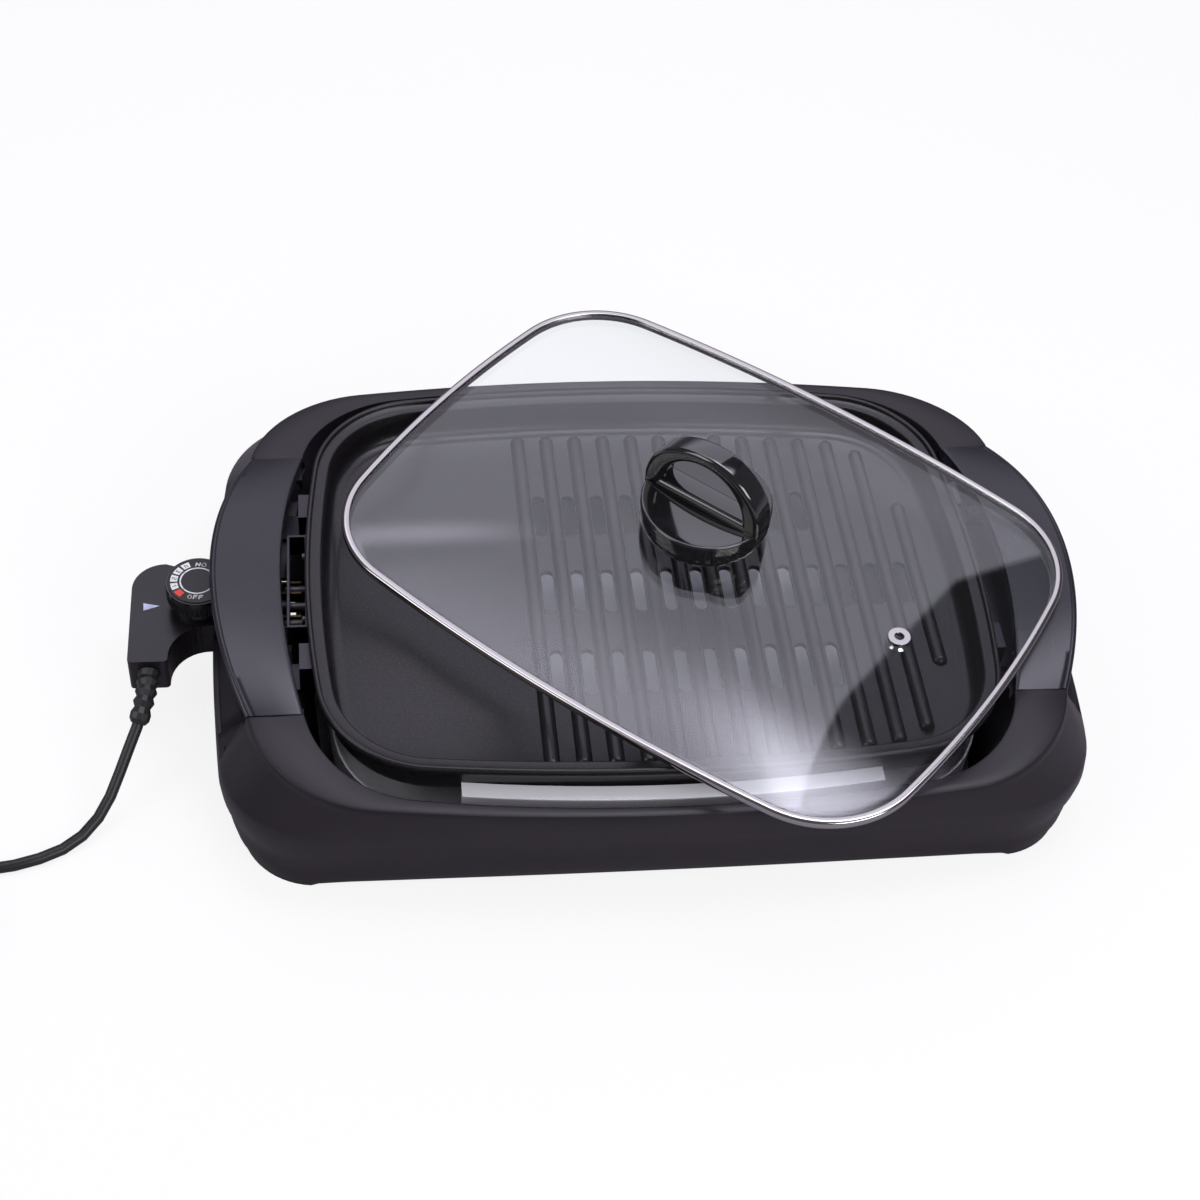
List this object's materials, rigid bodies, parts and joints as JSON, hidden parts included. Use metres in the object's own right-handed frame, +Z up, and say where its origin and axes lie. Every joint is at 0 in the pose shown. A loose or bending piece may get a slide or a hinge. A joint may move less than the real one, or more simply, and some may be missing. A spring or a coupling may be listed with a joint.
{
  "type": "electric indoor grill",
  "caption": "Countertop electric grill with a ribbed drain-slot plate over a lift-out drip tray, arched side handles, a plug-in dial thermostat with cord, and a loose glass lid",
  "frame": {"origin": "On the resting plane, under the middle of the box round the grill with its lid and controller, without the cord", "axes": "+Z up, +Y towards the back, the controller and its cord leave towards -X"},
  "size_m": [0.7811, 0.4989, 0.1762],
  "materials": {
    "base_black": "satin",
    "handle_black": "satin",
    "screw_steel": "satin",
    "bracket_grey": "satin",
    "rubber_black": "matte",
    "tray_aluminium": "satin",
    "plate_coating": "speckled satin",
    "element_steel": "matte",
    "ceramic_white": "matte",
    "pin_steel": "polished",
    "controller_black": "satin",
    "contact_brass": "satin",
    "lamp_glass": "gloss",
    "lens_clear": "gloss",
    "dial_black": "satin",
    "dial_print": "printed",
    "cord_black": "satin",
    "tie_white": "satin",
    "plug_black": "satin",
    "lid_glass": "polished",
    "band_steel": "polished",
    "grip_black": "gloss"
  },
  "bodies": {
    "base": {"base_housing": "base_black", "left_handle": "handle_black", "right_handle": "handle_black", "handle_screws": "screw_steel", "plate_brackets": "bracket_grey", "bracket_screws": "screw_steel", "rubber_feet": "rubber_black"},
    "drip_tray": {"drip_tray": "tray_aluminium"},
    "plate": {"grill_plate": "plate_coating", "heating_element": "element_steel", "terminal_insulators": "ceramic_white", "terminal_pins": "pin_steel", "terminal_guard": "bracket_grey", "guard_screws": "screw_steel", "probe_saddle": "plate_coating"},
    "lid": {"lid_glass": "lid_glass", "lid_band": "band_steel", "vent_grommet": "band_steel", "handle_gasket": "rubber_black", "handle_drum": "grip_black", "handle_loop": "grip_black", "handle_washer": "rubber_black", "handle_screw": "screw_steel"},
    "controller": {"controller_lower_housing": "controller_black", "controller_upper_housing": "controller_black", "controller_screws": "screw_steel", "probe": "pin_steel", "probe_collar": "pin_steel", "contact_forks": "contact_brass", "thermostat_block": "ceramic_white", "thermostat_blade": "contact_brass", "indicator_lamp": "lamp_glass", "indicator_lens": "lens_clear", "dial_collar": "dial_black", "strain_relief": "cord_black", "power_cord": "cord_black", "cord_coil": "cord_black", "coil_tie": "tie_white", "plug_body": "plug_black", "plug_pins": "pin_steel"},
    "dial": {"dial_knob": "dial_black", "dial_face": "dial_print", "dial_shaft": "pin_steel", "dial_cam": "ceramic_white"}
  },
  "joints": [
    {"name": "tray_lift", "type": "slide", "parent": "base", "child": "drip_tray", "axis": [0, 0, 1], "range_m": [0, 0.1]},
    {"name": "plate_lift", "type": "slide", "parent": "drip_tray", "child": "plate", "axis": [0, 0, 1], "range_m": [0, 0.12]},
    {"name": "lid_lift", "type": "slide", "parent": "plate", "child": "lid", "axis": [0, 0, 1], "range_m": [0, 0.2]},
    {"name": "controller_pull", "type": "slide", "parent": "base", "child": "controller", "axis": [-1, 0, 0], "range_m": [0, 0.1]},
    {"name": "dial_turn", "type": "hinge", "parent": "controller", "child": "dial", "pos_m": [-0.253, -0.011, 0.07], "axis": [0, 0, 1], "range_deg": [-70, 200]}
  ]
}
